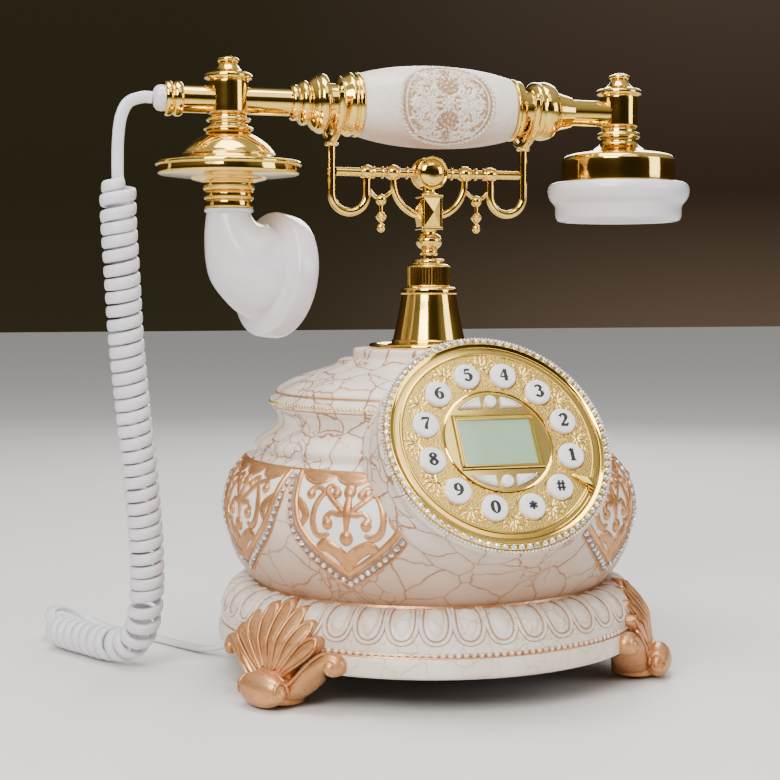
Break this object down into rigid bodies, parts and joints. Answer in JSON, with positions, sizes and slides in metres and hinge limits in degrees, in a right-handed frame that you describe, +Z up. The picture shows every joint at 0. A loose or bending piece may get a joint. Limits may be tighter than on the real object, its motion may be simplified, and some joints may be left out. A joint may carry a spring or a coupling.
{
  "type": "telephone",
  "caption": "Ornate push-button telephone: crackle resin body on shell feet, tilted round dial plate, sprung cradle on a column, horn-and-bell handset on a curly cord.",
  "frame": {"origin": "on the table, under the middle of the rigid parts' overall box; the body's upright axis stands 3.5 mm to its left", "axes": "+Z up; -Y is the front, which the dial faces; the handset lies along X with its ear end at +X"},
  "size_m": [0.2981, 0.2407, 0.2762],
  "materials": {
    "resin": "ivory crackle lacquer on cast resin, brown in the cracks",
    "gold": "mirror-polished gold plating",
    "dial_metal": "satin gold, embossed",
    "trim": "gold rail set with clear stones",
    "bronze": "copper-gold paint over moulded relief",
    "rubber": "matt black",
    "steel": "zinc-plated",
    "glass": "clear, over a grey-green display",
    "dark_plastic": "matt",
    "keypad_rubber": "matt grey silicone",
    "board": "green circuit board",
    "keys": "glossy white with black numerals",
    "white_plastic": "glossy white",
    "cord": "smooth white, semi-gloss"
  },
  "bodies": {
    "base": {"plinth": "resin", "body_shell": "resin", "column_cone": "gold", "bottom_plate": "steel", "feet": "bronze", "foot_pads": "rubber", "plate_screws": "steel", "dial_trim": "trim", "dial_plate": "dial_metal", "screen_bezel": "gold", "screen_glass": "glass", "screen_module": "dark_plastic", "finger_stop": "gold", "keypad_membrane": "keypad_rubber", "keypad_board": "board", "main_board": "board", "ringer": "dark_plastic", "hook_switch": "dark_plastic", "hook_spring": "steel", "column_disc": "gold", "column_collar": "gold", "sockets": "dark_plastic", "cord_plug": "white_plastic", "curly_cord": "cord"},
    "cradle": {"hook_stem": "gold", "cradle_block": "gold", "cradle_bar": "gold", "cradle_forks": "gold", "cradle_pendants": "gold"},
    "handset": {"handset_tube": "gold", "grip": "resin", "neck_left": "gold", "neck_right": "gold", "cord_boss": "white_plastic", "handset_tees": "gold", "finials": "gold", "mouth_dish": "gold", "mouth_horn": "white_plastic", "microphone": "dark_plastic", "ear_bell": "gold", "ear_cap": "white_plastic", "receiver": "dark_plastic"},
    "key_1_cap": {"key_1": "keys"},
    "key_2_cap": {"key_2": "keys"},
    "key_3_cap": {"key_3": "keys"},
    "key_4_cap": {"key_4": "keys"},
    "key_5_cap": {"key_5": "keys"},
    "key_6_cap": {"key_6": "keys"},
    "key_7_cap": {"key_7": "keys"},
    "key_8_cap": {"key_8": "keys"},
    "key_9_cap": {"key_9": "keys"},
    "key_0_cap": {"key_0": "keys"},
    "key_star_cap": {"key_star": "keys"},
    "key_hash_cap": {"key_hash": "keys"},
    "fn_upper_left_cap": {"fn_upper_left": "keys"},
    "fn_upper_mid_cap": {"fn_upper_mid": "keys"},
    "fn_upper_right_cap": {"fn_upper_right": "keys"},
    "fn_lower_left_cap": {"fn_lower_left": "keys"},
    "fn_lower_mid_cap": {"fn_lower_mid": "keys"},
    "fn_lower_right_cap": {"fn_lower_right": "keys"}
  },
  "joints": [
    {"name": "handset_lift", "type": "slide", "parent": "base", "child": "handset", "axis": [0, 0, 1], "range_m": [0, 0.12]},
    {"name": "cradle_rise", "type": "slide", "parent": "base", "child": "cradle", "axis": [0, 0, 1], "range_m": [0, 0.003], "deforming": ["hook_spring"]},
    {"name": "key_1_press", "type": "slide", "parent": "base", "child": "key_1_cap", "axis": [0, 0.8406, -0.5417], "range_m": [0, 0.0015], "stiffness_N_per_m": 200, "springref_m": -0.001},
    {"name": "key_2_press", "type": "slide", "parent": "base", "child": "key_2_cap", "axis": [0, 0.8406, -0.5417], "range_m": [0, 0.0015], "stiffness_N_per_m": 200, "springref_m": -0.001},
    {"name": "key_3_press", "type": "slide", "parent": "base", "child": "key_3_cap", "axis": [0, 0.8406, -0.5417], "range_m": [0, 0.0015], "stiffness_N_per_m": 200, "springref_m": -0.001},
    {"name": "key_4_press", "type": "slide", "parent": "base", "child": "key_4_cap", "axis": [0, 0.8406, -0.5417], "range_m": [0, 0.0015], "stiffness_N_per_m": 200, "springref_m": -0.001},
    {"name": "key_5_press", "type": "slide", "parent": "base", "child": "key_5_cap", "axis": [0, 0.8406, -0.5417], "range_m": [0, 0.0015], "stiffness_N_per_m": 200, "springref_m": -0.001},
    {"name": "key_6_press", "type": "slide", "parent": "base", "child": "key_6_cap", "axis": [0, 0.8406, -0.5417], "range_m": [0, 0.0015], "stiffness_N_per_m": 200, "springref_m": -0.001},
    {"name": "key_7_press", "type": "slide", "parent": "base", "child": "key_7_cap", "axis": [0, 0.8406, -0.5417], "range_m": [0, 0.0015], "stiffness_N_per_m": 200, "springref_m": -0.001},
    {"name": "key_8_press", "type": "slide", "parent": "base", "child": "key_8_cap", "axis": [0, 0.8406, -0.5417], "range_m": [0, 0.0015], "stiffness_N_per_m": 200, "springref_m": -0.001},
    {"name": "key_9_press", "type": "slide", "parent": "base", "child": "key_9_cap", "axis": [0, 0.8406, -0.5417], "range_m": [0, 0.0015], "stiffness_N_per_m": 200, "springref_m": -0.001},
    {"name": "key_0_press", "type": "slide", "parent": "base", "child": "key_0_cap", "axis": [0, 0.8406, -0.5417], "range_m": [0, 0.0015], "stiffness_N_per_m": 200, "springref_m": -0.001},
    {"name": "key_star_press", "type": "slide", "parent": "base", "child": "key_star_cap", "axis": [0, 0.8406, -0.5417], "range_m": [0, 0.0015], "stiffness_N_per_m": 200, "springref_m": -0.001},
    {"name": "key_hash_press", "type": "slide", "parent": "base", "child": "key_hash_cap", "axis": [0, 0.8406, -0.5417], "range_m": [0, 0.0015], "stiffness_N_per_m": 200, "springref_m": -0.001},
    {"name": "fn_upper_left_press", "type": "slide", "parent": "base", "child": "fn_upper_left_cap", "axis": [0, 0.8406, -0.5417], "range_m": [0, 0.0015], "stiffness_N_per_m": 200, "springref_m": -0.001},
    {"name": "fn_upper_mid_press", "type": "slide", "parent": "base", "child": "fn_upper_mid_cap", "axis": [0, 0.8406, -0.5417], "range_m": [0, 0.0015], "stiffness_N_per_m": 200, "springref_m": -0.001},
    {"name": "fn_upper_right_press", "type": "slide", "parent": "base", "child": "fn_upper_right_cap", "axis": [0, 0.8406, -0.5417], "range_m": [0, 0.0015], "stiffness_N_per_m": 200, "springref_m": -0.001},
    {"name": "fn_lower_left_press", "type": "slide", "parent": "base", "child": "fn_lower_left_cap", "axis": [0, 0.8406, -0.5417], "range_m": [0, 0.0015], "stiffness_N_per_m": 200, "springref_m": -0.001},
    {"name": "fn_lower_mid_press", "type": "slide", "parent": "base", "child": "fn_lower_mid_cap", "axis": [0, 0.8406, -0.5417], "range_m": [0, 0.0015], "stiffness_N_per_m": 200, "springref_m": -0.001},
    {"name": "fn_lower_right_press", "type": "slide", "parent": "base", "child": "fn_lower_right_cap", "axis": [0, 0.8406, -0.5417], "range_m": [0, 0.0015], "stiffness_N_per_m": 200, "springref_m": -0.001}
  ],
  "couplings": [
    {"joint": "cradle_rise", "follows": "handset_lift", "ratio": 0.025}
  ]
}
